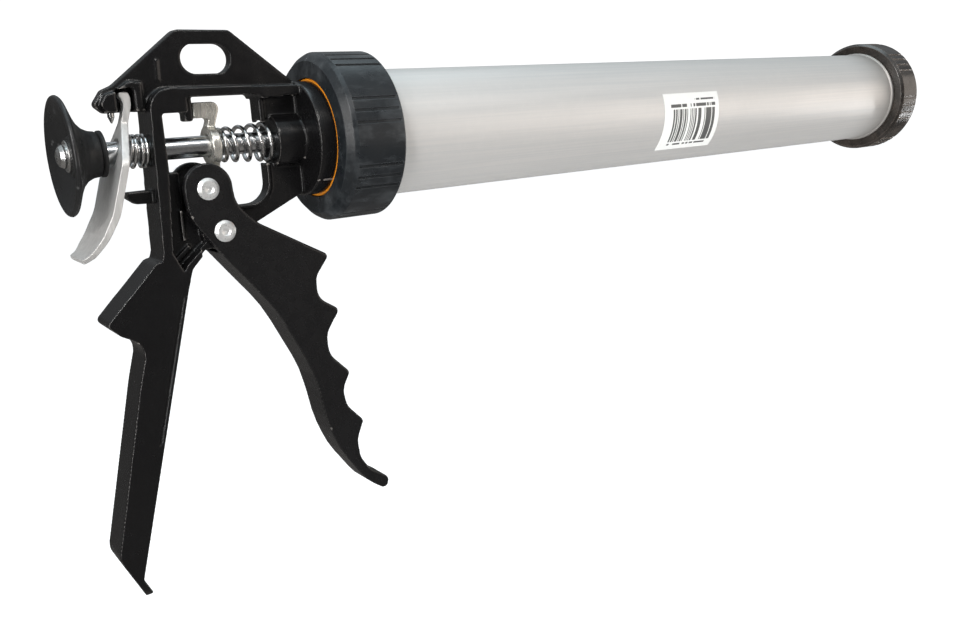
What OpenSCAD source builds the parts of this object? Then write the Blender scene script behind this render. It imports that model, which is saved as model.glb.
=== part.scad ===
// Jerky gun: a caulking-gun style stuffer with a lever-driven push rod, an aluminium barrel and ring nuts.
// Millimetres. +X runs along the barrel to the nozzle end, +Z is up, and the row's origin is the centre of
// the nozzle seat in the front cap. Sizes below are measured from the collar's rear face, at x = 0 on the
// gun's axis.

/* [Barrel] */
// Outside diameter of the barrel tube
barrel_od = 52.5; // [51.5:0.5:53.5]
// Wall thickness of the barrel tube
barrel_wall = 1.6; // [1.4:0.1:2]
// Length of the barrel tube
barrel_len = 396.1; // [250:0.1:450]

/* [Ring nuts] */
// Outside diameter of the collar nut at the frame
collar_od = 67.2; // [64:0.2:70]
// Length of the collar nut
collar_len = 25.3; // [20:0.1:30]
// Outside diameter of the front cap
cap_od = 66; // [64:0.2:70]
// Length of the front cap
cap_len = 18.5; // [13:0.1:20]
// Diameter of the hole in the front cap that a nozzle stands through
nozzle_hole_d = 38; // [30:1:40]
// Depth of the grip grooves in both ring nuts
grip_depth = 0.6; // [0.3:0.1:1]

/* [Push rod] */
// Diameter of the push rod
rod_d = 8; // [7:0.5:8]
// Radial running clearance of the rod in the frame's bores
rod_clear = 0.06; // [0.04:0.01:0.1]
// Diameter of the bell-shaped pull knob
knob_d = 42; // [36:1:46]
// Radial gap between the piston and the barrel's bore
piston_gap = 0.3; // [0.2:0.05:0.5]

/* [Frame] */
// Width of the frame's rim and handle
rim_w = 16; // [14:1:17]
// Thickness of the frame's middle web
web_t = 5; // [4:0.5:6]
// Width of the release plate's thumb tab
release_w = 26; // [18:1:28]

/* [Trigger] */
// Width of the trigger over its two cheeks
cheek_w = 18.4; // [18:0.2:20]
// Width of the slot between the two cheeks
slot_w = 12; // [11.6:0.2:12.4]
// Width of the trigger at its toe, to which both sides taper from the pivot
toe_w = 12.8; // [12:0.2:16]
// Diameter of the two trigger pins
pin_d = 5; // [4:0.5:5]

/* [Hidden] */
$fn = 96;

// Fits
fit_gap = 0.3;
pin_gap = 0.05;
press_gap = 0.01;

// Stations along the gun, from the collar's rear face
hub_x = -7;
collar_x0 = -0.6;
collar_x1 = collar_x0 + collar_len;
seal_x1 = 2.3;
flange_x1 = 6;
barrel_x0 = 6.1;
barrel_x1 = barrel_x0 + barrel_len;
cap_x1 = barrel_x1 + 5.3;
cap_x0 = cap_x1 - cap_len;
cap_lip_x = cap_x1 - 2.8;
boss_x = -18.3;
boss_r = 10.3;
wall_x = -65;
window_x1 = -23;
arch_w = slot_w - 2 * fit_gap;
barrel_r = barrel_od / 2;
bore_r = barrel_r - barrel_wall;
thread_r = barrel_r + 0.6;
nut_bore_r = thread_r + fit_gap;
rod_r = rod_d / 2;
hub_r = 22.5;
seal_r = 23.4;

// Trigger pins, in the gun's middle plane
pivot = [-43.8, -31.6];
drive = [-48.4, -15.3];
pin_r = pin_d / 2;
lug_r = 7.6;
roller_r = 4.5;

// Drive plate
drive_x0 = drive.x + roller_r + fit_gap;
drive_t = 3.4;
drive_spring_r = [5.7, 7.2];
drive_spring_wire = 1.6;
guide_x = [-51.6, -48.4];

// Release plate, its spring and the pin that stops its top under the nose
release_hole_r = 5.1;
release_lean = 0.31;
neck_y = [-2.4, 1.8];
stop_pin_x = -77;
stop_pin_z = [10.3, 21.2];
stop_pin_r = 1.2;
stop_pin_y = (neck_y[0] + neck_y[1]) / 2;
peg_x = -75.8;
release_spring_r = 5.6;
release_spring_wire = 1.2;
release_spring_x = [-74.1, -66.7];

// Push rod assembly
knob_x = -83.1;
knob_len = 13;
rod_x0 = knob_x - 9.9;
piston_x0 = barrel_x1 - 26;
piston_len = 14;
stud_r = 3;
rod_x1 = piston_x0 - 1.5;
stud_x1 = piston_x0 + piston_len + 9;

// ---- Drawing helpers ----

// Moves a piece from the collar's datum to the row's origin at the nozzle seat.
module row() {
    translate([-cap_x1, 0, 0]) children();
}

// Plate of the given width across the gun, from a side outline in x and z.
module slab(width) {
    rotate([90, 0, 0]) linear_extrude(width, center = true) children();
}

// Round bar along the gun's axis from x0 to x1.
module bar(r, x0, x1, z = 0, y = 0) {
    translate([x0, y, z]) rotate([0, 90, 0]) cylinder(r = r, h = x1 - x0);
}

// Round bar across the gun at a point of the side view.
module cross_bar(r, width, at, y = 0) {
    translate([at.x, y, at.y]) rotate([90, 0, 0]) cylinder(r = r, h = width, center = true);
}

// Turned piece about the gun's axis, from [x, radius] points.
module turned(points) {
    rotate([0, 90, 0]) rotate_extrude() polygon([for (p = points) [p[1], p[0]]]);
}

function unit(v) = v / norm(v);
function turn_to(a, b) = (b - a + 540) % 360 - 180;

// Arc that rounds one corner p = [x, z, radius] between its neighbours a and b.
function corner(a, p, b) =
    let (
        at = [p.x, p.y],
        u = unit([a.x, a.y] - at),
        w = unit([b.x, b.y] - at),
        half = acos(u * w) / 2,
        r = p[2]
    )
    r == 0 ? [at] :
    let (
        centre = at + unit(u + w) * r / sin(half),
        start = at + u * r / tan(half) - centre,
        finish = at + w * r / tan(half) - centre,
        from = atan2(start.y, start.x),
        sweep = turn_to(from, atan2(finish.y, finish.x)),
        steps = max(1, ceil(abs(sweep) / 12))
    )
    [for (i = [0:steps]) centre + r * [cos(from + sweep * i / steps), sin(from + sweep * i / steps)]];

// Outline through [x, z, radius] corners.
function rounded(c) = [
    for (i = [0:len(c) - 1]) each corner(c[(i + len(c) - 1) % len(c)], c[i], c[(i + 1) % len(c)])
];

// Tube swept along a list of points, for the coil springs. The ends are flat.
module sweep(points, r, sides) {
    n = len(points);
    rings = [
        for (i = [0:n - 1])
            let (
                t = unit(points[min(i + 1, n - 1)] - points[max(i - 1, 0)]),
                side = unit(cross(t, [1, 0, 0])),
                up = cross(side, t)
            )
            each [
                for (k = [0:sides - 1])
                    points[i] + r * (side * cos(360 * k / sides) + up * sin(360 * k / sides))
            ]
    ];
    walls = [
        for (i = [0:n - 2], k = [0:sides - 1])
            let (a = i * sides + k, b = i * sides + (k + 1) % sides)
            [a, b, b + sides, a + sides]
    ];
    first = [for (k = [sides - 1:-1:0]) k];
    last = [for (k = [0:sides - 1]) (n - 1) * sides + k];
    polyhedron(rings, concat([first], walls, [last]), convexity = 8);
}

// Coil spring about the gun's axis, with a closed turn at each end. x0 and x1 are the wire's centre at its
// ends, and lean is how far each end's plane moves along x for each millimetre up.
module coil_spring(x0, x1, r0, r1, wire, turns, lean = [0, 0]) {
    steps = 20;
    lift = function(t) t < 1 ? 0.12 * t : t > turns - 1 ? 1 - 0.12 * (turns - t)
        : 0.12 + 0.76 * (t - 1) / (turns - 2);
    path = [
        for (i = [0:turns * steps])
            let (
                t = i / steps,
                r = r0 + (r1 - r0) * t / turns,
                z = r * sin(360 * t),
                slope = lean[0] + (lean[1] - lean[0]) * lift(t)
            )
            [x0 + (x1 - x0) * lift(t) + slope * z, r * cos(360 * t), z]
    ];
    sweep(path, wire / 2, 8);
}

// Grip grooves along a ring nut, in groups with smooth lands between them.
module grip_grooves(r, x0, x1, groups, ribs, pitch, start) {
    groove_w = 1.3;
    for (g = [0:groups - 1], k = [0:ribs - 1]) {
        angle = start + 360 * g / groups + (k - (ribs - 1) / 2) * pitch;
        rotate([angle, 0, 0]) translate([x0, -r - 1, -groove_w / 2])
            cube([x1 - x0, 1 + grip_depth, groove_w]);
    }
}

// Rivet across the gun with two domed heads.
module rivet(at, width) {
    head_r = 4.1;
    head_h = 1.3;
    translate([at.x, 0, at.y]) rotate([90, 0, 0]) rotate_extrude() polygon([
        [0, -width / 2 - head_h + 0.7], [1.3, -width / 2 - head_h + 0.5], [1.9, -width / 2 - head_h],
        [3, -width / 2 - head_h], [head_r, -width / 2 - 0.5], [head_r, -width / 2], [pin_r, -width / 2],
        [pin_r, width / 2], [head_r, width / 2], [head_r, width / 2 + 0.5], [3, width / 2 + head_h],
        [1.9, width / 2 + head_h], [1.3, width / 2 + head_h - 0.5], [0, width / 2 + head_h - 0.7]
    ]);
}

// ---- Frame ----

// Middle web: the hanging triangle, the nose and the plate that ties the handle, the pivot lug and the hub.
module web_outline() {
    difference() {
        polygon(rounded([
            [hub_x + 1, 21.8, 0], [-31, 42, 3], [-51.3, 42.2, 4], [-75.4, 23.4, 5], [-79.4, 21.8, 2],
            [-83, 16.8, 1.6], [-79.6, 13.8, 2], [-63, 13.8, 0], [-66, -42, 0], [-60.6, -50, 0],
            [-58.4, -43.6, 4], [-51.6, -37.6, 3], [-41, -37.2, 0], [-28.4, -30.9, 4], [hub_x + 1, -20.6, 0]
        ]));
        translate([-40.9, 31.8]) hang_slot_outline();
    }
}

module hang_slot_outline() {
    slot_len = 18.9;
    slot_h = 10.8;
    square([slot_len - slot_h, slot_h], center = true);
    for (side = [-1, 1]) translate([side * (slot_len - slot_h) / 2, 0]) circle(d = slot_h);
}

// Window through the web, the rim and the front wall.
module window_outline() {
    polygon(rounded([
        [-61.4, 12.8, 1], [guide_x[0], 12.8, 1], [guide_x[0], 18.3, 0.8],
        [window_x1, 18.3, 1.5], [window_x1, -2, 4], [window_x1 + 1.3, -9, 5], [window_x1 + 1.3, -23.4, 8],
        [-56.4, -23.4, 2], [-56.4, -8.6, 0.5], [-61.4, -8.6, 1]
    ]));
}

// Guide block for the drive plate's tab, in the window's upper corner.
module guide_outline() {
    polygon([
        [guide_x[0], 9.8], [guide_x[0] + 0.6, 9.4], [guide_x[1] - 0.6, 9.4], [guide_x[1], 10],
        [guide_x[1], 19], [guide_x[0] - 0.8, 19], [guide_x[0] - 0.8, 13.4], [guide_x[0], 13]
    ]);
}

// Full-width rim: the top wall and the rear wall.
module rim_outline() {
    polygon(rounded([
        [hub_x + 1, 21, 0], [wall_x, 21.8, 8], [-67.4, -37.4, 0], [-70, -46, 0], [-60, -46, 0],
        [-63.8, -37.4, 0], [-61, -3, 0], [-48, -3, 0], [-48, 15, 0], [hub_x + 1, 17.6, 0]
    ]));
}

// Handle with the horn that rests on the web of the hand.
module handle_outline() {
    polygon(rounded([
        [-67.2, -37.2, 4], [-90.8, -60.4, 1.8], [-86.2, -65, 3], [-77.6, -69.8, 7], [-82.2, -85, 60],
        [-98.6, -149.6, 7], [-89.8, -169.6, 0.9], [-87.6, -167.6, 0.7], [-91, -160.4, 3],
        [-59.3, -50.5, 20], [-57.2, -45.4, 3], [-62, -44.6, 2], [-65, -42, 2]
    ]));
}

// Rim under the web, from the handle's front edge over the arch to the pivot lug.
module arch_outline() {
    polygon(rounded([
        [-60, -52.5, 0], [-57.2, -44.4, 5], [-50.8, -38.1, 3], [-46, -37.9, 0], [-46, -35.7, 0],
        [-51, -35.8, 3], [-59.4, -43, 5], [-61.6, -48, 0]
    ]));
}

// Front wall above the boss, and the lip that follows the round front corner of the window.
module front_wall_outline() {
    polygon(rounded([
        [-25, 18.8, 0], [-20.8, 18.8, 0], [-20.8, -4, 3], [window_x1 + 2.6, -9, 5],
        [window_x1 + 2.6, -24.8, 9.4], [-44, -24.8, 0], [-44, -22.6, 0], [-31.4, -22.6, 0], [-25, -17, 0]
    ]));
}

// Nose that the release plate hangs in: a block on the web, with a pocket that is open to one side and below.
module nose_outline() {
    polygon(rounded([
        [-66, 14.1, 0], [-66, 24, 0], [-70.4, 24.6, 3], [-75.2, 21.2, 4], [-79, 20.2, 2], [-81, 16.8, 1.4],
        [-79, 14.1, 1.4]
    ]));
}

module nose_pocket_outline() {
    polygon(rounded([[-75.4, 12, 0], [-75.4, 21.8, 1.4], [-69, 22.4, 1.2], [-69, 12, 0]]));
}

// Prism that takes the lower corner off one side of the handle's toe.
module toe_corner(side) {
    corner_r = 6;
    z = -169;
    difference() {
        translate([-105, side > 0 ? rim_w / 2 - corner_r : -rim_w / 2 - 1, z])
            cube([25, corner_r + 1, corner_r]);
        translate([-106, side * (rim_w / 2 - corner_r), z + corner_r]) rotate([0, 90, 0])
            cylinder(r = corner_r, h = 27);
    }
}

// Two shallow grooves along the handle's front edge, one on each side.
module handle_grooves() {
    groove_deep = 0.6;
    top = [-60.7, -54];
    run = [-0.2757, -0.9612];
    side = [-0.9612, 0.2757];
    stretch = 58;
    difference() {
        slab(rim_w + 1) polygon([
            top + side * 0.8, top + side * 1.9, top + side * 1.9 + run * stretch,
            top + side * 0.8 + run * stretch
        ]);
        slab(rim_w - 2 * groove_deep) square([200, 400], center = true);
    }
}

module frame_casting() {
    seat_r = drive_spring_r[1] + drive_spring_wire / 2 + 2 * fit_gap;
    flange_x0 = seal_x1 + 2 * fit_gap;
    pad_w = 9;
    wall_w = 6.6;
    rib_w = 8;
    difference() {
        union() {
            slab(web_t) web_outline();
            slab(rim_w) rim_outline();
            slab(rim_w) handle_outline();
            slab(arch_w) arch_outline();
            slab(rim_w) intersection() {
                arch_outline();
                translate([-64, -54]) square([11, 20]);
            }
            slab(pad_w) intersection() {
                front_wall_outline();
                translate([-30, 2]) square([20, 20]);
            }
            slab(wall_w) front_wall_outline();
            slab(pad_w) nose_outline();
            cross_bar(lug_r, arch_w, pivot);
            // Stiffening ribs on the web: a diagonal one, an upright one and a fine one under the slope
            slab(rib_w) polygon([[-63.5, -41.5], [-56.5, -35.8], [-55.4, -37.1], [-62.4, -42.8]]);
            slab(rib_w) polygon([[-58.2, -22.8], [-57.2, -22.8], [-57.2, -34], [-58.2, -34]]);
            slab(web_t + 1) polygon([[-60.1, 24.4], [-59.4, 24.4], [-59, 31.6], [-59.7, 31.6]]);
            // Stop peg behind the rear wall
            slab(5) polygon(rounded([
                [-64, -14.1, 0], [peg_x, -14.3, 0.6], [peg_x - 0.3, -16.4, 0.8], [-73, -18.8, 1],
                [-64, -19.2, 0]
            ]));
            // Boss, hub and the flange that the collar nut pulls against the barrel
            bar(boss_r, boss_x, hub_x + 1);
            bar(hub_r, hub_x, flange_x0);
            bar(barrel_r - 0.4, flange_x0, flange_x1);
        }
        slab(rim_w + 2) window_outline();
        bar(seat_r, window_x1 - 1, boss_x);
        bar(rod_r + rod_clear, boss_x - 1, flange_x1 + 1);
        bar(rod_r + rod_clear, -70, -55);
        cross_bar(pin_r + pin_gap, slot_w, pivot);
        // Pocket in the nose, and a blind hole above it for the stop pin
        translate([0, (neck_y[1] + fit_gap - 10) / 2, 0]) slab(neck_y[1] + fit_gap + 10)
            nose_pocket_outline();
        translate([stop_pin_x, stop_pin_y, 12])
            cylinder(r = stop_pin_r + press_gap, h = stop_pin_z[1] - 12 + 0.1);
        for (side = [-1, 1]) toe_corner(side);
        handle_grooves();
    }
}

module frame() {
    color("#1c1c1e") row() {
        slab(6) guide_outline();
        frame_casting();
    }
}

// ---- Barrel and ring nuts ----

module ring_nut(r, x0, x1, chamfer, groups, ribs, pitch, start) {
    difference() {
        children();
        grip_grooves(r, x0 + chamfer, x1 - 1.4, groups, ribs, pitch, start);
    }
}

module collar_nut() {
    r = collar_od / 2;
    lip_x = seal_x1 + fit_gap;
    color("#25282c") row() ring_nut(r, collar_x0, collar_x1, 4.2, 8, 3, 8, -17.7) turned([
        [collar_x0, seal_r + fit_gap], [collar_x0, r - 3.3], [collar_x0 + 1.1, r - 2.2],
        [collar_x0 + 2.4, r - 0.9], [collar_x0 + 4, r], [collar_x1 - 0.8, r], [collar_x1, r - 0.8],
        [collar_x1, nut_bore_r], [lip_x, nut_bore_r], [lip_x, seal_r + fit_gap]
    ]);
}

module collar_seal() {
    color("orange") row() turned([
        [-0.2, hub_r + press_gap], [-0.2, seal_r - 0.3], [0.1, seal_r], [seal_x1, seal_r],
        [seal_x1, hub_r + press_gap]
    ]);
}

// Aluminium tube. Rings at both ends stand in for its rolled thread, and a bead stops the front cap.
module barrel_tube() {
    rings = 4;
    pitch = 2.4;
    bead = [[-2.2, 0], [-1.8, 0.6], [-1.3, 0.9], [-0.8, 0.6], [-0.4, 0]];
    crest = function(x, way) [
        for (i = [0:rings - 1]) each [
            [x + way * i * pitch, barrel_r], [x + way * (i * pitch + 0.6), thread_r],
            [x + way * (i * pitch + 1.2), thread_r], [x + way * (i * pitch + 1.8), barrel_r]
        ]
    ];
    front_crest = crest(barrel_x1 - 0.6, -1);
    color("#b9bcc0") row() turned(concat(
        [[barrel_x0, bore_r], [barrel_x0, barrel_r]],
        crest(barrel_x0 + 0.6, 1),
        [for (p = bead) [cap_x0 + p.x, barrel_r + p.y]],
        [for (i = [len(front_crest) - 1:-1:0]) front_crest[i]],
        [[barrel_x1, barrel_r], [barrel_x1, bore_r]]
    ));
}

// Blank sticker on the side of the barrel.
module barrel_label() {
    label_x = 180.5;
    label_len = 41;
    label_t = 0.13;
    color("white") row() translate([label_x, 0, 0]) rotate([0, 90, 0]) rotate([0, 0, -110.5])
        rotate_extrude(angle = 65) translate([barrel_r + 0.02, 0]) square([label_t, label_len]);
}

module front_cap() {
    r = cap_od / 2;
    color("#2a2624") row() ring_nut(r, cap_x0, cap_x1, 1.6, 7, 4, 7.4, 14) turned([
        [cap_x0, nut_bore_r], [cap_x0, r - 1.5], [cap_x0 + 1.5, r], [cap_x1 - 2.4, r],
        [cap_x1 - 0.7, r - 0.9], [cap_x1, r - 2.8], [cap_x1, nozzle_hole_d / 2],
        [cap_lip_x, nozzle_hole_d / 2], [cap_lip_x, nut_bore_r]
    ]);
}

module nozzle_gasket() {
    color("white") row() turned([
        [barrel_x1 + 0.3, nozzle_hole_d / 2 + 2], [barrel_x1 + 0.3, thread_r], [cap_lip_x, thread_r],
        [cap_lip_x, nozzle_hole_d / 2 + 2]
    ]);
}

// ---- Push rod, knob and piston ----

module push_rod() {
    color("silver") row() turned([
        [rod_x0, 0], [rod_x0, stud_r], [knob_x, stud_r], [knob_x, rod_r], [rod_x1, rod_r], [rod_x1, stud_r],
        [stud_x1 - 0.6, stud_r], [stud_x1, stud_r - 0.6], [stud_x1, 0]
    ]);
}

// Bell knob with a dished back and a raised seat for its screw.
module pull_knob() {
    r = knob_d / 2;
    x = knob_x;
    color("#1a1a1b") row() turned([
        [x, stud_r + press_gap], [x, 7.4], [x - 0.6, 8], [x - 2.8, 8.3], [x - 5, 9.4], [x - 7, 11.6],
        [x - 8.6, 14.6], [x - 10, 18], [x - 11, r - 0.5], [x - 11.8, r], [x - 12.6, r - 0.3],
        [x - knob_len, r - 1.4], [x - 11.6, 17], [x - 9.8, 13], [x - 8.4, 9.6], [x - 7.8, 8.8],
        [x - 7.7, 8.2], [x - 8.6, 7.6], [rod_x0, 6.6], [rod_x0, stud_r + press_gap]
    ]);
}

module knob_washer() {
    color("silver") row() turned([
        [rod_x0, 0], [rod_x0, 5.6], [rod_x0 - 0.8, 5.6], [rod_x0 - 1, 5.4], [rod_x0 - 1, 0]
    ]);
}

module knob_screw() {
    x = rod_x0 - 1;
    color("silver") row() difference() {
        turned([[x, 0], [x, 4.2], [x - 1, 4.2], [x - 2.2, 3.4], [x - 2.9, 2], [x - 3.1, 0]]);
        for (a = [0, 90]) rotate([a, 0, 0]) translate([x - 4.1, -2, -0.4]) cube([2.4, 4, 0.8]);
    }
}

module rod_bumper() {
    bumper_len = 1.4;
    bumper_r = 8.2;
    color("#161616") row() turned([
        [knob_x, rod_r + press_gap], [knob_x, bumper_r - 0.5], [knob_x + 0.5, bumper_r],
        [knob_x + bumper_len, bumper_r], [knob_x + bumper_len, rod_r + press_gap]
    ]);
}

module piston_disc() {
    r = bore_r - piston_gap;
    x = piston_x0;
    groove_r = r - 3.4;
    color("ivory") row() turned([
        [x, stud_r + press_gap], [x, 17], [x + 2, 19], [x + 2, r - 0.6], [x + 2.6, r], [x + 5, r],
        [x + 5, groove_r], [x + 8.6, groove_r], [x + 8.6, r], [x + 13, r], [x + piston_len, r - 1],
        [x + piston_len, stud_r + press_gap]
    ]);
}

module piston_seal() {
    ring_r = 1.75;
    color("white") row() translate([piston_x0 + 6.8, 0, 0]) rotate([0, 90, 0]) rotate_extrude()
        translate([bore_r - 0.05 - ring_r, 0]) circle(r = ring_r, $fn = 32);
}

module piston_washers() {
    color("silver") row() {
        for (x = [piston_x0 - 1.5, piston_x0 + piston_len]) difference() {
            bar(11, x, x + 1.5);
            bar(stud_r + press_gap, x - 1, x + 3);
        }
    }
}

module piston_nut() {
    x = piston_x0 + piston_len + 1.5;
    color("silver") row() difference() {
        translate([x, 0, 0]) rotate([0, 90, 0]) cylinder(r = 5.8, h = 5, $fn = 6);
        bar(stud_r + press_gap, x - 1, x + 6);
    }
}

// ---- Release plate ----

// Side outline of the release plate: a leaning leg, a hooked top and a thumb tab that curls back.
module release_outline() {
    polygon(rounded([
        [-73.7, 20.9, 0.8], [-70.2, 21, 1.6], [-69.9, 16.6, 6], [-81.6, -21.2, 14], [-86.5, -29.3, 16],
        [-91.5, -35.4, 5], [-94.9, -37.4, 0.8], [-96.1, -35.6, 0.8], [-93.3, -34, 5], [-88.9, -28.6, 16],
        [-84.3, -20.6, 16], [-72.4, 17, 4], [-73.9, 19.6, 0.8]
    ]));
}

// The release plate from behind: a narrow neck, round shoulders and a round-ended tab.
module release_front_outline() {
    half = release_w / 2;
    polygon(rounded([
        [neck_y[0], 30, 0], [neck_y[0], 10.4, 2], [-half, -3.2, 6], [-half, -38.8, 12], [half, -38.8, 12],
        [half, -3.2, 6], [neck_y[1], 10.4, 2], [neck_y[1], 30, 0]
    ]));
}

module release_plate() {
    color("#b5b3b0") row() difference() {
        intersection() {
            slab(release_w + 2) release_outline();
            translate([-100, 0, 0]) rotate([90, 0, 90]) linear_extrude(40) release_front_outline();
        }
        bar(release_hole_r, -90, -60);
    }
}

module release_spring() {
    color("silver") row() coil_spring(release_spring_x[0], release_spring_x[1], release_spring_r,
        release_spring_r, release_spring_wire, 4, [release_lean, 0.04]);
}

module plate_stop_pin() {
    tip = 2.2;
    color("silver") row() translate([stop_pin_x, stop_pin_y, stop_pin_z[0]]) {
        translate([0, 0, tip]) cylinder(r = stop_pin_r, h = stop_pin_z[1] - stop_pin_z[0] - tip);
        cylinder(r1 = 0.3, r2 = stop_pin_r, h = tip);
    }
}

// ---- Trigger and drive ----

// Drive plate: an eye round the rod, a stem up to the tab that the rim guides, and a tail that the roller
// pushes.
module drive_plate() {
    tab_x = guide_x[1] + fit_gap;
    eye_r = 7.4;
    stem_w = 5;
    x1 = drive_x0 + drive_t;
    color("#c9c5bb") row() difference() {
        union() {
            bar(eye_r, drive_x0, x1);
            slab(stem_w) polygon(rounded([
                [tab_x, 10.4, 1], [drive_x0 + 1.4, 10.4, 1], [drive_x0, 6.8, 1], [drive_x0, -3, 0],
                [x1, -3, 0], [x1, 7.8, 2], [x1 + 3, 16.2, 2.6], [tab_x, 16.2, 1]
            ]));
            slab(stem_w + 1) polygon(rounded([
                [drive_x0, -22.2, 0.8], [x1, -22.2, 0.8], [x1, -5, 0], [drive_x0, -5, 0]
            ]));
        }
        bar(rod_r + fit_gap, -60, -30);
    }
}

module drive_spring() {
    gap = 0.2 + drive_spring_wire / 2;
    color("silver") row() coil_spring(drive_x0 + drive_t + gap, boss_x - gap, drive_spring_r[0],
        drive_spring_r[1], drive_spring_wire, 5);
}

// Side outline of the trigger: round head, scalloped front edge, curled toe and hollowed back edge.
module trigger_outline() {
    polygon(rounded([
        [-57.9, -6, 9.2], [-39.2, -5.8, 9.2], [-38.4, -22, 12], [-30.4, -30, 14], [-1.2, -46.8, 1.8],
        [-7.8, -55, 6], [-7.6, -64, 7], [1.6, -70.2, 2], [-5, -79.6, 8], [-4.8, -88.6, 9], [4.2, -98.2, 2],
        [0.4, -105, 8], [1.6, -113, 9], [9, -121.4, 2.4], [5.4, -129.6, 9], [6.2, -138, 9], [10.6, -145, 6],
        [19.6, -151.4, 3], [18.2, -157.2, 2], [8.6, -150, 24], [-3.2, -132.4, 50], [-8, -119, 40],
        [-12, -96, 60], [-26, -66, 60], [-46.4, -39.6, 30], [-56.4, -25, 14]
    ]));
}

// Room between the cheeks for the frame's web, its lug, the roller and the drive plate.
module trigger_slot_outline() {
    clear_r = lug_r + 0.9;
    translate(pivot) {
        circle(r = clear_r);
        polygon([
            [-30, -clear_r], [0, -clear_r], [6, -clear_r + 2], [20, -1.4], [34, 6], [34, 40], [-30, 40]
        ]);
    }
}

// Shallow bevel on one cheek of the trigger's head, behind the line through its two pins.
module head_bevel(side) {
    slope = 9;
    along = atan2(drive.x - pivot.x, drive.y - pivot.y);
    translate([drive.x, side * cheek_w / 2, drive.y]) rotate([0, along, 0]) rotate([0, 0, -side * slope])
        translate([-30, side > 0 ? 0 : -6, -34]) cube([30, 6, 50]);
}

module trigger() {
    taper = -atan((cheek_w - toe_w) / 2 / 120);
    color("#1d1d1f") row() difference() {
        slab(cheek_w) trigger_outline();
        slab(slot_w) trigger_slot_outline();
        // Both sides taper from the pivot down to the toe
        for (side = [-1, 1]) translate([0, side * cheek_w / 2, pivot.y - 6]) rotate([side * taper, 0, 0])
            translate([0, side * 10, -100]) cube([200, 20, 200], center = true);
        for (side = [-1, 1]) head_bevel(side);
        for (at = [pivot, drive]) cross_bar(pin_r + press_gap, 40, at);
    }
}

module pivot_rivet() {
    color("silver") row() rivet(pivot, cheek_w);
}

module drive_rivet() {
    color("silver") row() rivet(drive, cheek_w);
}

module drive_roller() {
    color("silver") row() difference() {
        cross_bar(roller_r, slot_w - 1, drive);
        cross_bar(pin_r + pin_gap, slot_w, drive);
    }
}

frame();
collar_nut();
collar_seal();
barrel_tube();
barrel_label();
front_cap();
nozzle_gasket();
push_rod();
pull_knob();
knob_washer();
knob_screw();
rod_bumper();
piston_disc();
piston_seal();
piston_washers();
piston_nut();
release_plate();
release_spring();
plate_stop_pin();
drive_plate();
drive_spring();
trigger();
pivot_rivet();
drive_rivet();
drive_roller();
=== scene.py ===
import math

import bmesh
import bpy
from mathutils import Matrix, Vector


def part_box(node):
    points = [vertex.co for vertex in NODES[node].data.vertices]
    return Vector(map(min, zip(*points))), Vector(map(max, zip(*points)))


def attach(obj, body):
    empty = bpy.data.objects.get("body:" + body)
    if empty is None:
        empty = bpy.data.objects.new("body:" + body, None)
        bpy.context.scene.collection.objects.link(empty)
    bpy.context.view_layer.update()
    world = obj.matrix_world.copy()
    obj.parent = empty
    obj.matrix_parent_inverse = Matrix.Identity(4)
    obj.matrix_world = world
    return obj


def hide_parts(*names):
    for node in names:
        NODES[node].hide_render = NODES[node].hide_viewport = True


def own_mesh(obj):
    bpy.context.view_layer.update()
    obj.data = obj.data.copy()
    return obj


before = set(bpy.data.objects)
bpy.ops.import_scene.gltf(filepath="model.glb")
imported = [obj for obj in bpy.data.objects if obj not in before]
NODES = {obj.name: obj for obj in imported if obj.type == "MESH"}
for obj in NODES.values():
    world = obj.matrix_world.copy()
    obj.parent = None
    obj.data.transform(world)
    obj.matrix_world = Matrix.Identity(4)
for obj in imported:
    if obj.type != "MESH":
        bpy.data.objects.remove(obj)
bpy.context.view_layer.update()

SCENE = bpy.context.scene
MM = 0.001


def add_object(name, data):
    obj = bpy.data.objects.new(name, data)
    SCENE.collection.objects.link(obj)
    return obj


# ---- Material helpers ----

EDGE_SAMPLES = 6
RECESS_SAMPLES = 8


def shade(tone, factor):
    """A lighter or darker version of a colour."""
    return [min(1, c * factor) for c in tone]


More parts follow.
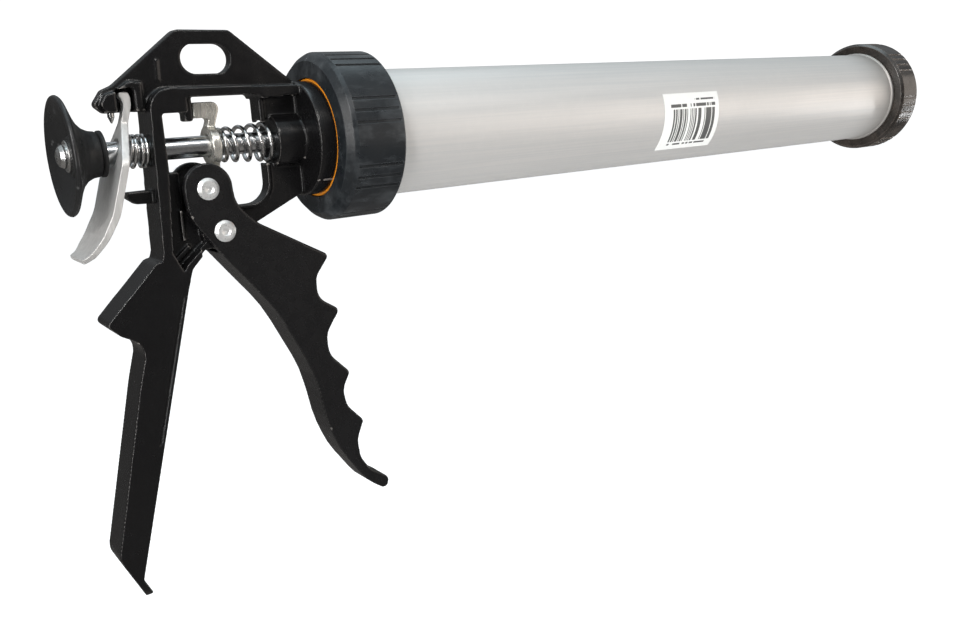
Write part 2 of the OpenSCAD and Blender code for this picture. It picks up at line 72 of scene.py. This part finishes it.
class Shader:
    """A node material with one Principled shader, and short ways to wire procedural detail into it."""

    def __init__(self, name, color, rough, metal=0.0, **sockets):
        self.mat = bpy.data.materials.new(name)
        self.mat.use_nodes = True
        self.nt = self.mat.node_tree
        self.bsdf = self.nt.nodes["Principled BSDF"]
        self.bsdf.inputs["Base Color"].default_value = (*color, 1)
        self.bsdf.inputs["Roughness"].default_value = rough
        self.bsdf.inputs["Metallic"].default_value = metal
        for key, value in sockets.items():
            self.bsdf.inputs[key.replace("_", " ")].default_value = value
        self.coords = self.nt.nodes.new("ShaderNodeTexCoord").outputs["Object"]
        self.normal = None

    def node(self, kind, inputs=None, **props):
        """A new node with its properties set, and each input linked to a socket or set to a value."""
        n = self.nt.nodes.new(kind)
        for key, value in props.items():
            setattr(n, key, value)
        for key, value in (inputs or {}).items():
            if isinstance(value, bpy.types.NodeSocket):
                self.nt.links.new(value, n.inputs[key])
            else:
                n.inputs[key].default_value = value
        return n

    def math(self, op, a, b=0.0, clamp=False):
        return self.node("ShaderNodeMath", {0: a, 1: b}, operation=op, use_clamp=clamp).outputs[0]

    def times(self, a, b):
        return self.math("MULTIPLY", a, b)

    def noise(self, scale, detail=3.0, rough=0.55, stretch=(1, 1, 1), offset=0.0):
        """Noise over the piece. A small stretch runs it along that axis. Each offset is another pattern."""
        shift = (offset, offset * 0.7, offset * 1.3)
        place = self.node("ShaderNodeMapping", {"Vector": self.coords, "Scale": stretch, "Location": shift})
        texture = {"Vector": place.outputs[0], "Scale": scale, "Detail": detail, "Roughness": rough}
        return self.node("ShaderNodeTexNoise", texture).outputs["Fac"]

    def ramp(self, value, low, high, out_low=0.0, out_high=1.0):
        return self.node("ShaderNodeMapRange", {"Value": value, "From Min": low, "From Max": high,
                                                "To Min": out_low, "To Max": out_high}).outputs[0]

    def mix(self, fac, a, b):
        """Colour a where fac is 0, and colour b where it is 1."""
        n = self.node("ShaderNodeMix", data_type="RGBA")
        sockets = {socket.name: socket for socket in n.inputs if socket.enabled}
        self.nt.links.new(fac, sockets["Factor"])
        for key, value in (("A", a), ("B", b)):
            if isinstance(value, bpy.types.NodeSocket):
                self.nt.links.new(value, sockets[key])
            else:
                sockets[key].default_value = (*value, 1)
        return [socket for socket in n.outputs if socket.enabled][0]

    def edges(self, low, high):
        """0 on flats, and 1 on raised edges of a densely meshed piece."""
        return self.ramp(self.node("ShaderNodeNewGeometry").outputs["Pointiness"], low, high)

    def round_edges(self, radius):
        """Rounds the shading of sharp edges. It comes before the first bump."""
        self.normal = self.node("ShaderNodeBevel", {"Radius": radius}, samples=EDGE_SAMPLES).outputs[0]

    def rounded(self):
        """0 on flats, and 1 along the edges that round_edges has just rounded."""
        flat = self.node("ShaderNodeNewGeometry").outputs["Normal"]
        turn = self.node("ShaderNodeVectorMath", {0: self.normal, 1: flat}, operation="DOT_PRODUCT")
        return self.ramp(turn.outputs["Value"], 0.985, 0.88)

    def color(self, socket):
        self.nt.links.new(socket, self.bsdf.inputs["Base Color"])

    def rough(self, socket):
        self.nt.links.new(socket, self.bsdf.inputs["Roughness"])

    def bump(self, height, strength, distance=0.2 * MM):
        """Adds relief to the rounding and the relief that are already there."""
        n = self.node("ShaderNodeBump", {"Height": height, "Strength": strength, "Distance": distance})
        if self.normal is not None:
            self.nt.links.new(self.normal, n.inputs["Normal"])
        self.normal = n.outputs[0]
        self.nt.links.new(self.normal, self.bsdf.inputs["Normal"])


# ---- Paint, plastic, metal and rubber ----

# Pale edge colour of the castings: bare metal, which also serves as a painted highlight
BARE_METAL_HIGHLIGHT = (0.66, 0.61, 0.57)
DUST = (0.10, 0.095, 0.09)
CAST_EDGE = 0.8 * MM
NUT_EDGE = 0.6 * MM
RECESS_REACH = 14 * MM


def cast_paint(name, tone, rough, wear_and_glint):
    """Black enamel on a casting: orange peel, a few dust specks, and edges worn to bare metal in patches,
    which also stand in as a painted highlight along the edges.
    """
    s = Shader(name, tone, rough, IOR=1.48)
    base = s.mix(s.noise(45, 4), shade(tone, 0.8), shade(tone, 1.3))
    patches = s.ramp(s.noise(38, 5, offset=3), 0.4, 0.62, 0.25 * wear_and_glint, wear_and_glint)
    # Painted highlight: convex edges turn pale and metallic in patches, worn metal that also stands in for
    # the edges' highlights
    wear_and_highlight = s.times(s.edges(0.538, 0.585), patches)
    base = s.mix(wear_and_highlight, base, BARE_METAL_HIGHLIGHT)
    specks = s.ramp(s.noise(800, 2, offset=9), 0.86, 0.88)
    s.color(s.mix(specks, base, DUST))
    s.nt.links.new(wear_and_highlight, s.bsdf.inputs["Metallic"])
    s.rough(s.ramp(s.noise(220, 5, offset=5), 0.3, 0.7, rough - 0.04, rough + 0.07))
    s.round_edges(CAST_EDGE)
    s.bump(s.noise(420, 3, 0.6), 0.07, 0.4 * MM)
    s.bump(s.noise(2200, 2, 0.6, offset=2), 0.02)
    return s.mat


def nut_plastic(name, tone, rough, scuff, scuff_amount, patch, shine=0.5):
    """Moulded plastic of a ring nut, with scuffs that run along the grip and paler worn edges."""
    s = Shader(name, tone, rough, IOR=1.47, Specular_IOR_Level=shine)
    patches = s.ramp(s.noise(60, 5, 0.65, stretch=(0.6, 1.0, 1.0)), *patch)
    streaks = s.ramp(s.noise(420, 4, 0.7, stretch=(0.12, 1, 1), offset=4), 0.55, 0.8)
    scuffs = s.times(s.math("ADD", patches, s.times(streaks, 0.6), clamp=True), scuff_amount)
    s.round_edges(NUT_EDGE)
    edge = s.times(s.rounded(), s.ramp(s.noise(90, 4, offset=12), 0.3, 0.6, 0.4, 1.0))
    s.color(s.mix(s.math("MAXIMUM", scuffs, s.times(edge, 0.55)), tone, scuff))
    s.rough(s.ramp(s.noise(150, 5, offset=7), 0.3, 0.7, rough - 0.06, rough + 0.1))
    s.bump(s.noise(1400, 3), 0.10, 0.3 * MM)
    return s.mat


def plain_plastic(name, tone, rough, lift, dull=0.0):
    """Moulded plastic. lift pales its raised edges. dull roughens its recesses, where no hand polishes it."""
    s = Shader(name, tone, rough, IOR=1.47)
    base = s.mix(s.noise(70, 4), shade(tone, 0.8), shade(tone, 1.2))
    s.color(s.mix(s.edges(0.52, 0.62), base, [min(1, c * lift + 0.02) for c in tone]))
    sheen = s.ramp(s.noise(190, 4, offset=3), 0.3, 0.7, rough - 0.06, rough + 0.1)
    if dull:
        recess = s.node("ShaderNodeAmbientOcclusion", {"Distance": RECESS_REACH}, samples=RECESS_SAMPLES)
        sheen = s.math("ADD", sheen, s.ramp(recess.outputs["AO"], 0.80, 0.96, dull, 0.0))
    s.rough(sheen)
    s.bump(s.noise(1500, 3), 0.1)
    return s.mat


def metal(name, tone, rough, grain, scale, depth, tint=0.12, bare=1.0):
    """Bare or plated metal. grain and scale set the brushing, depth its relief and tint its contrast. bare is
    below 1 for a milky plating."""
    s = Shader(name, tone, rough, bare)
    lines = s.noise(scale, 4, 0.65, stretch=grain)
    cloud = s.noise(60, 4, offset=6)
    base = s.mix(s.ramp(lines, 0.3, 0.7), shade(tone, 1 - tint), shade(tone, 1 + tint))
    s.color(s.mix(s.ramp(cloud, 0.45, 0.75, 0, 0.5), base, shade(tone, 0.72)))
    brushed = s.ramp(lines, 0.3, 0.7, rough - 0.05, rough + 0.07)
    s.rough(s.math("ADD", brushed, s.ramp(cloud, 0.4, 0.7, 0, 0.08)))
    s.bump(lines, depth)
    return s.mat


def rubber(name, tone, rough):
    """Soft rubber with a fine matt grain."""
    s = Shader(name, tone, rough, IOR=1.5)
    s.color(s.mix(s.noise(240, 4), shade(tone, 0.85), shade(tone, 1.12)))
    s.rough(s.ramp(s.noise(300, 3, offset=2), 0.3, 0.7, rough - 0.06, rough + 0.08))
    s.bump(s.noise(1600, 3), 0.12)
    return s.mat


# ---- Barrel tube ----

# Painted shade: the tube is darkened behind the front cap, standing in for the cap's dark reflection, most at
# the second distance and not at all at the first
CAP_SHADE_FROM, CAP_SHADE_TO = 42 * MM, 2 * MM


def anodised():
    """Satin anodised tube: half mirror, half milky, with drawing lines along its length, soft clouding, and
    painted shade behind the front cap.
    """
    s = Shader("barrel_aluminium", (0.80, 0.80, 0.80), 0.45, 0.5)
    lines = s.noise(1000, 4, 0.6, stretch=(0.01, 1, 1))
    cloud = s.noise(22, 4, 0.55, stretch=(0.5, 1, 1), offset=3)
    mottle = s.noise(260, 5, 0.65, offset=8)
    base = s.mix(s.ramp(lines, 0.35, 0.65), (0.69, 0.683, 0.672), (0.755, 0.737, 0.717))
    base = s.mix(s.ramp(cloud, 0.4, 0.7, 0, 0.4), base, (0.648, 0.638, 0.62))
    base = s.mix(s.ramp(mottle, 0.5, 0.8, 0, 0.22), base, (0.80, 0.78, 0.76))
    along = s.node("ShaderNodeSeparateXYZ", {0: s.coords}).outputs[0]
    cap_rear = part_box("front_cap")[0].x
    # Painted shade: darker towards the front cap, standing in for the cap's reflection
    cap_shade = s.math("POWER", s.ramp(along, cap_rear - CAP_SHADE_FROM, cap_rear - CAP_SHADE_TO), 2.0)
    s.color(s.mix(s.times(cap_shade, 0.7), base, (0.30, 0.275, 0.25)))
    s.rough(s.math("ADD", s.ramp(lines, 0.3, 0.7, 0.40, 0.48), s.ramp(cloud, 0.4, 0.7, 0, 0.08)))
    s.bump(lines, 0.04)
    s.bump(mottle, 0.05)
    return s.mat


# ---- Sticker ----

# One block of bars, and rows of dashes over and under it: each has its two angles up from the barrel's side,
# its two ends as shares of the sticker's width, its pitch, and the share of it that is left blank
BARS = ((-34, 3), (0.13, 0.92), 0.6 * MM, 0.42)
DASH_ROWS = (
    ((5.0, 8.5), (0.11, 0.93), 0.7 * MM, 0.3),
    ((12, 14), (0.55, 0.93), 0.9 * MM, 0.35),
    ((-38.5, -36.2), (0.10, 0.86), 0.9 * MM, 0.35),
)
INK = (0.04, 0.04, 0.04)


def sticker():
    """Coated paper with generic bars and dashes that say nothing."""
    s = Shader("label_paper", (0.84, 0.84, 0.82), 0.42)
    low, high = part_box("barrel_label")
    width = high.x - low.x
    x, y, z = s.node("ShaderNodeSeparateXYZ", {0: s.coords}).outputs
    around = s.math("ARCTAN2", z, s.times(y, -1.0))

    def window(value, a, b):
        return s.times(s.math("GREATER_THAN", value, a), s.math("LESS_THAN", value, b))

    def block(angles, ends, pitch, blank):
        cell = s.math("FLOOR", s.times(x, 1 / pitch))
        dice = s.node("ShaderNodeTexWhiteNoise", {"W": cell}, noise_dimensions="1D").outputs["Value"]
        across = window(around, math.radians(angles[0]), math.radians(angles[1]))
        along = window(x, low.x + width * ends[0], low.x + width * ends[1])
        return s.times(s.math("GREATER_THAN", dice, blank), s.times(across, along))

    ink = block(*BARS)
    for row in DASH_ROWS:
        ink = s.math("MAXIMUM", ink, block(*row))
    paper = s.mix(s.noise(500, 4), (0.80, 0.80, 0.775), (0.88, 0.88, 0.86))
    s.color(s.mix(s.times(ink, 0.93), paper, INK))
    s.bump(s.noise(1800, 3), 0.06)
    return s.mat


# ---- Which node has which material ----

NO_GRAIN = (1, 1, 1)
ALONG_BARREL = (0.02, 1, 1)

MATS = {
    "cast": cast_paint("cast_paint", (0.0052, 0.0050, 0.0053), 0.22, wear_and_glint=0.75),
    "lever": cast_paint("lever_paint", (0.0068, 0.0066, 0.0070), 0.25, wear_and_glint=0.4),
    "collar": nut_plastic("collar_plastic", (0.011, 0.0132, 0.0155), 0.30,
                          scuff=(0.090, 0.098, 0.104), scuff_amount=0.62, patch=(0.47, 0.72)),
    "cap": nut_plastic("cap_plastic", (0.014, 0.011, 0.0092), 0.24,
                       scuff=(0.34, 0.27, 0.225), scuff_amount=0.17, patch=(0.45, 0.8), shine=1.0),
    "orange": rubber("orange_rubber", (0.90, 0.30, 0.012), 0.40),
    "white_rubber": rubber("white_rubber", (0.74, 0.73, 0.69), 0.5),
    "black_rubber": rubber("black_rubber", (0.012, 0.012, 0.012), 0.5),
    "tube": anodised(),
    "label": sticker(),
    "rod": metal("rod_chrome", (0.78, 0.79, 0.80), 0.14, ALONG_BARREL, scale=1200, depth=0.04, tint=0.06),
    "steel": metal("bright_steel", (0.72, 0.72, 0.71), 0.24, NO_GRAIN, scale=1200, depth=0.08),
    "rivet": metal("rivet_steel", (0.95, 0.95, 0.94), 0.26, NO_GRAIN, scale=1500, depth=0.12,
                   tint=0.05, bare=0.72),
    "spring": metal("spring_steel", (0.80, 0.80, 0.80), 0.16, NO_GRAIN, scale=1200, depth=0.03, tint=0.06),
    "zinc": metal("zinc_plate", (0.72, 0.705, 0.685), 0.42, (1, 1, 0.05), scale=900, depth=0.10,
                  tint=0.10, bare=0.6),
    "drive_zinc": metal("drive_zinc", (0.86, 0.83, 0.76), 0.24, (1, 1, 0.1), scale=900, depth=0.12,
                        bare=0.85),
    "knob": plain_plastic("knob_plastic", (0.0095, 0.0095, 0.0098), 0.30, lift=3.0, dull=0.35),
    "acetal": plain_plastic("piston_plastic", (0.76, 0.75, 0.70), 0.45, lift=1.05),
}


def paint(obj, mat_name):
    obj.data.materials.clear()
    obj.data.materials.append(MATS[mat_name])


NODE_MATS = {
    "frame": "cast", "trigger": "lever", "collar_nut": "collar", "collar_seal": "orange",
    "barrel_tube": "tube", "barrel_label": "label", "front_cap": "cap", "nozzle_gasket": "white_rubber",
    "push_rod": "rod", "pull_knob": "knob", "knob_washer": "steel", "knob_screw": "steel",
    "rod_bumper": "black_rubber", "piston_disc": "acetal", "piston_seal": "white_rubber",
    "piston_washers": "steel", "piston_nut": "steel", "release_plate": "zinc",
    "release_spring": "spring", "plate_stop_pin": "steel", "drive_plate": "drive_zinc",
    "drive_spring": "spring", "pivot_rivet": "rivet", "drive_rivet": "rivet", "drive_roller": "steel",
}
for node_name, mat_name in NODE_MATS.items():
    paint(NODES[node_name], mat_name)


# ---- Softened edges on the castings, the plates and the knob ----

RELAX_FACTOR = 0.5
# Voxel size, and how many times the new surface is relaxed
SOFT_EDGES = {
    "frame": (0.38 * MM, 4),
    "trigger": (0.38 * MM, 5),
    "release_plate": (0.3 * MM, 3),
    "drive_plate": (0.3 * MM, 4),
    "pull_knob": (0.4 * MM, 2),
}


def soften(node_name, voxel, rounds):
    """Rounds every edge of a CAD node a little, with modifiers only."""
    obj = NODES[node_name]
    remesh = obj.modifiers.new("soft_edges", "REMESH")
    remesh.mode = "VOXEL"
    remesh.voxel_size = voxel
    remesh.use_smooth_shade = True
    smooth = obj.modifiers.new("relax", "SMOOTH")
    smooth.factor = RELAX_FACTOR
    smooth.iterations = rounds


for node_name, (voxel, rounds) in SOFT_EDGES.items():
    soften(node_name, voxel, rounds)


# ---- Springs ----

WIRE_SIDES = 14
TURN_STEPS = 40
# Share of the spring's length that its closed turn takes up at each end
CLOSED_SHARE = 0.12


def climb(t, turns):
    """How far along the spring its wire has come after t turns, from 0 to 1."""
    if t < 1:
        return CLOSED_SHARE * t
    if t > turns - 1:
        return 1 - CLOSED_SHARE * (turns - t)
    return CLOSED_SHARE + (1 - 2 * CLOSED_SHARE) * (t - 1) / (turns - 2)


def coil(name, node_name, wire, radii, ends, turns, lean=(0.0, 0.0)):
    """Round-wire spring along X in place of its CAD node. radii, ends and lean have a value for each end: the
    coil's radius, the wire's centre, and how far the turn leans along X for each unit of height."""
    bm = bmesh.new()
    previous = None
    for i in range(int(turns * TURN_STEPS) + 1):
        t = i / TURN_STEPS
        share = climb(t, turns)
        radius = radii[0] + (radii[1] - radii[0]) * t / turns
        angle = 2 * math.pi * t
        tilt = lean[0] + (lean[1] - lean[0]) * share
        height = radius * math.sin(angle)
        along = ends[0] + (ends[1] - ends[0]) * share + tilt * height
        centre = Vector((along, radius * math.cos(angle), height))
        outward = Vector((0, math.cos(angle), math.sin(angle)))
        ring = []
        for k in range(WIRE_SIDES):
            a = 2 * math.pi * k / WIRE_SIDES
            out = outward * math.cos(a) + Vector((1, 0, 0)) * math.sin(a)
            ring.append(bm.verts.new(centre + wire / 2 * out))
        if previous:
            for k in range(WIRE_SIDES):
                after = (k + 1) % WIRE_SIDES
                bm.faces.new((previous[k], previous[after], ring[after], ring[k]))
        else:
            bm.faces.new(list(reversed(ring)))
        previous = ring
    bm.faces.new(previous)
    bmesh.ops.recalc_face_normals(bm, faces=bm.faces)
    mesh = bpy.data.meshes.new(name)
    bm.to_mesh(mesh)
    bm.free()
    for face in mesh.polygons:
        face.use_smooth = True
    obj = add_object(name, mesh)
    paint(obj, "spring")
    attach(obj, "gun_frame")
    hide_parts(node_name)
    return obj


DRIVE_WIRE, DRIVE_TURNS, DRIVE_TRAVEL = 1.6 * MM, 5, 6.6 * MM
DRIVE_RADII = (5.7 * MM, 7.2 * MM)
low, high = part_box("drive_spring")
ends = (low.x + DRIVE_WIRE / 2, high.x - DRIVE_WIRE / 2)
drive_coil = coil("drive_coil", "drive_spring", DRIVE_WIRE, DRIVE_RADII, ends, DRIVE_TURNS)
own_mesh(drive_coil)

RELEASE_WIRE, RELEASE_TURNS, RELEASE_R = 1.2 * MM, 4, 5.6 * MM
# The rear end leans with the release plate, and the front end with the frame's wall
RELEASE_LEAN = (0.31, 0.04)
low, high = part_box("release_spring")
ends = (low.x + RELEASE_WIRE / 2 + RELEASE_LEAN[0] * RELEASE_R,
        high.x - RELEASE_WIRE / 2 - RELEASE_LEAN[1] * RELEASE_R)
release_coil = coil("release_coil", "release_spring", RELEASE_WIRE, (RELEASE_R, RELEASE_R), ends,
                    RELEASE_TURNS, RELEASE_LEAN)
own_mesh(release_coil)


# ---- Camera ----

# Where it stands, and where its right and its down point: fitted to the barrel's and the ring nuts' outlines
CAMERA_AT = Vector((-0.5757, -0.3423, 0.0124))
CAMERA_RIGHT = Vector((0.8015, -0.5957, -0.0525))
CAMERA_DOWN = Vector((-0.1781, -0.1539, -0.9719))
LENS = 34.07
SENSOR = 36.0
CLIP = (0.01, 50)

camera = bpy.data.cameras.new("camera")
camera.lens = LENS
camera.sensor_width = SENSOR
camera.clip_start, camera.clip_end = CLIP
camera_obj = add_object("camera", camera)
backward = CAMERA_RIGHT.cross(-CAMERA_DOWN).normalized()
turned = Matrix((CAMERA_RIGHT, -CAMERA_DOWN, backward)).transposed()
camera_obj.matrix_world = Matrix.Translation(CAMERA_AT) @ turned.to_4x4()
SCENE.camera = camera_obj


# ---- Floor ----

FLOOR_AT = (-0.2, 0, -0.34)
FLOOR_REACH = 6
FLOOR_GLOW = 0.8

floor_mesh = bpy.data.meshes.new("floor")
bm = bmesh.new()
bmesh.ops.create_grid(bm, x_segments=8, y_segments=8, size=FLOOR_REACH)
bm.to_mesh(floor_mesh)
bm.free()
floor = add_object("floor", floor_mesh)
floor.location = FLOOR_AT
pale = Shader("floor", (0.6, 0.6, 0.6), 0.9, Emission_Color=(1, 1, 1, 1), Emission_Strength=FLOOR_GLOW)
floor.data.materials.append(pale.mat)
floor.visible_glossy = False


# ---- World: white to the camera, and a dim room to everything else ----

BACKDROP_GLOW = 1.1
# The room's colour from straight down, at 0, to straight up, at 1
SKY = (
    (0.0, (0.22, 0.21, 0.20)),
    (0.42, (0.09, 0.088, 0.085)),
    (0.60, (0.11, 0.11, 0.11)),
    (0.80, (0.36, 0.39, 0.41)),
    (1.0, (0.48, 0.53, 0.56)),
)

world = bpy.data.worlds.new("studio")
world.use_nodes = True
SCENE.world = world
wn = world.node_tree
direction = wn.nodes.new("ShaderNodeTexCoord")
split = wn.nodes.new("ShaderNodeSeparateXYZ")
height = wn.nodes.new("ShaderNodeMapRange")
height.inputs["From Min"].default_value = -1
sky = wn.nodes.new("ShaderNodeValToRGB")
for _ in range(len(SKY) - 2):
    sky.color_ramp.elements.new(0.5)
for stop, (at, tone) in zip(sky.color_ramp.elements, SKY):
    stop.position = at
    stop.color = (*tone, 1)
room = wn.nodes["Background"]
backdrop = wn.nodes.new("ShaderNodeBackground")
backdrop.inputs["Color"].default_value = (1, 1, 1, 1)
backdrop.inputs["Strength"].default_value = BACKDROP_GLOW
ray = wn.nodes.new("ShaderNodeLightPath")
switch = wn.nodes.new("ShaderNodeMixShader")
for source, target in (
    (direction.outputs["Generated"], split.inputs[0]),
    (split.outputs["Z"], height.inputs["Value"]),
    (height.outputs[0], sky.inputs[0]),
    (sky.outputs[0], room.inputs["Color"]),
    (ray.outputs["Is Camera Ray"], switch.inputs[0]),
    (room.outputs[0], switch.inputs[1]),
    (backdrop.outputs[0], switch.inputs[2]),
    (switch.outputs[0], wn.nodes["World Output"].inputs[0]),
):
    wn.links.new(source, target)


# ---- Lights ----

def softbox(name, at, aim, size, power, tint=(1, 1, 1)):
    """Rectangular light of size width and height, in metres, that faces aim with a power in watts."""
    light = bpy.data.lights.new(name, "AREA")
    light.shape = "RECTANGLE"
    light.size, light.size_y = size
    light.energy = power
    light.color = tint
    obj = add_object(name, light)
    obj.location = at
    obj.rotation_mode = "QUATERNION"
    obj.rotation_quaternion = (Vector(aim) - Vector(at)).to_track_quat("-Z", "Y")


softbox("front", (1.05, -1.0, 0.1), (-0.2, 0, 0), (1.7, 0.8), 4.8, (1, 0.89, 0.80))
softbox("key", (-0.2, -0.9, 0.9), (-0.3, 0, 0), (0.34, 0.2), 3.4, (1, 0.95, 0.90))
softbox("top", (-0.35, 0.08, 1.2), (-0.3, 0, 0), (1.6, 0.5), 4.6, (0.74, 0.92, 1))
softbox("rear", (-1.5, -0.5, 0.3), (-0.45, 0, -0.02), (0.8, 0.8), 4.8, (1, 0.97, 0.94))
softbox("lens", (-1.1, -0.62, 0.62), (-0.49, 0, -0.05), (0.16, 0.16), 4.0)
softbox("strip_right", (1.1, -0.35, -0.32), (-0.45, 0, -0.05), (0.06, 0.4), 2.2)
softbox("strip_left", (-1.5, -0.85, -0.1), (-0.45, 0, -0.05), (0.07, 0.6), 3.0)

SCENE.view_settings.view_transform = "Standard"
SCENE.view_settings.look = "None"
